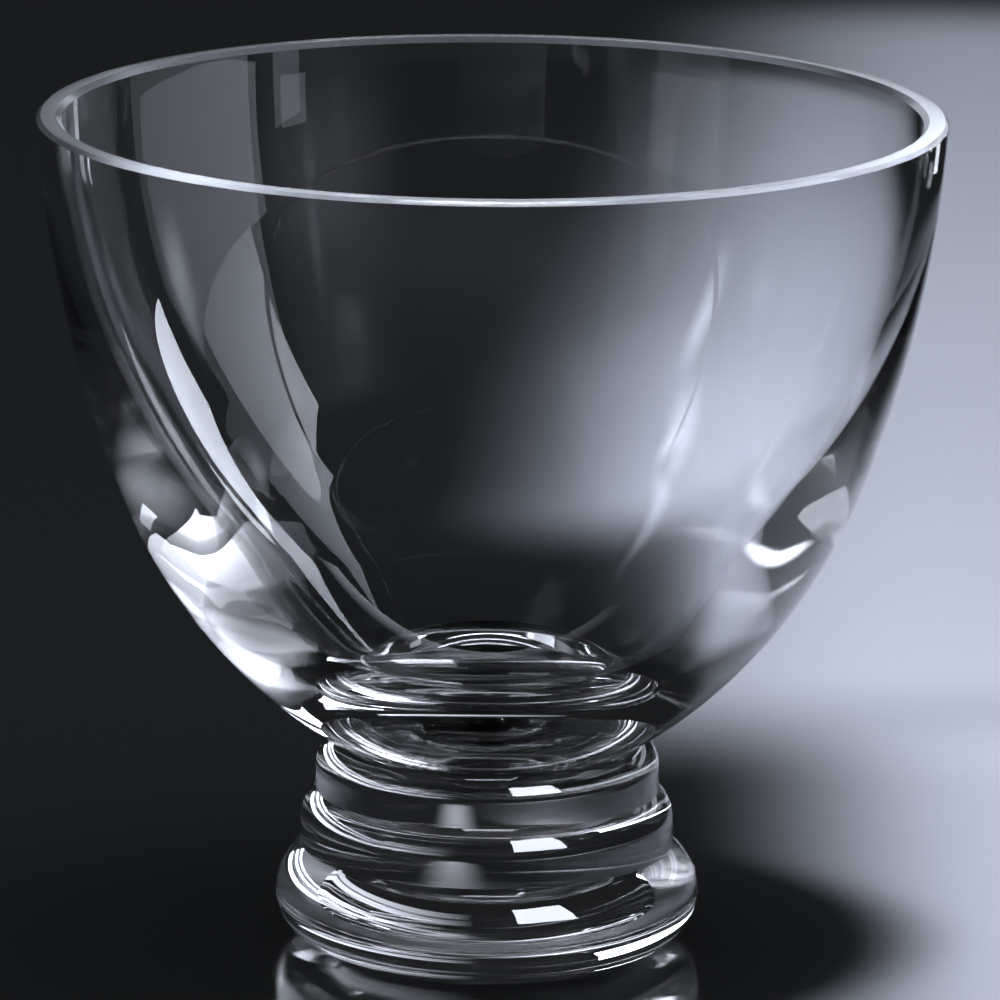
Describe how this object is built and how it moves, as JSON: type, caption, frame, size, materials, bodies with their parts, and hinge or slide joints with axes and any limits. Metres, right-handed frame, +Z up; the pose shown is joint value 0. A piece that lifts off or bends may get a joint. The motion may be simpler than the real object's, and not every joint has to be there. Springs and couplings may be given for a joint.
{
  "type": "rose bowl vase",
  "caption": "Deep clear glass flower bowl with a thick wall and a flat polished rim, on a short solid foot of stepped rings.",
  "frame": {"origin": "middle of the foot's underside, on the plane that it stands on", "axes": "+Z up along the bowl's axis, towards the rim; X and Y are alike, because the vase is round"},
  "size_m": [0.254, 0.254, 0.2365],
  "materials": {
    "clear_glass": "clear, fire-polished, with a ground and polished rim"
  },
  "bodies": {
    "root": {"bowl": "clear_glass", "upper_ring": "clear_glass", "middle_ring": "clear_glass", "base_ring": "clear_glass"}
  },
  "joints": []
}
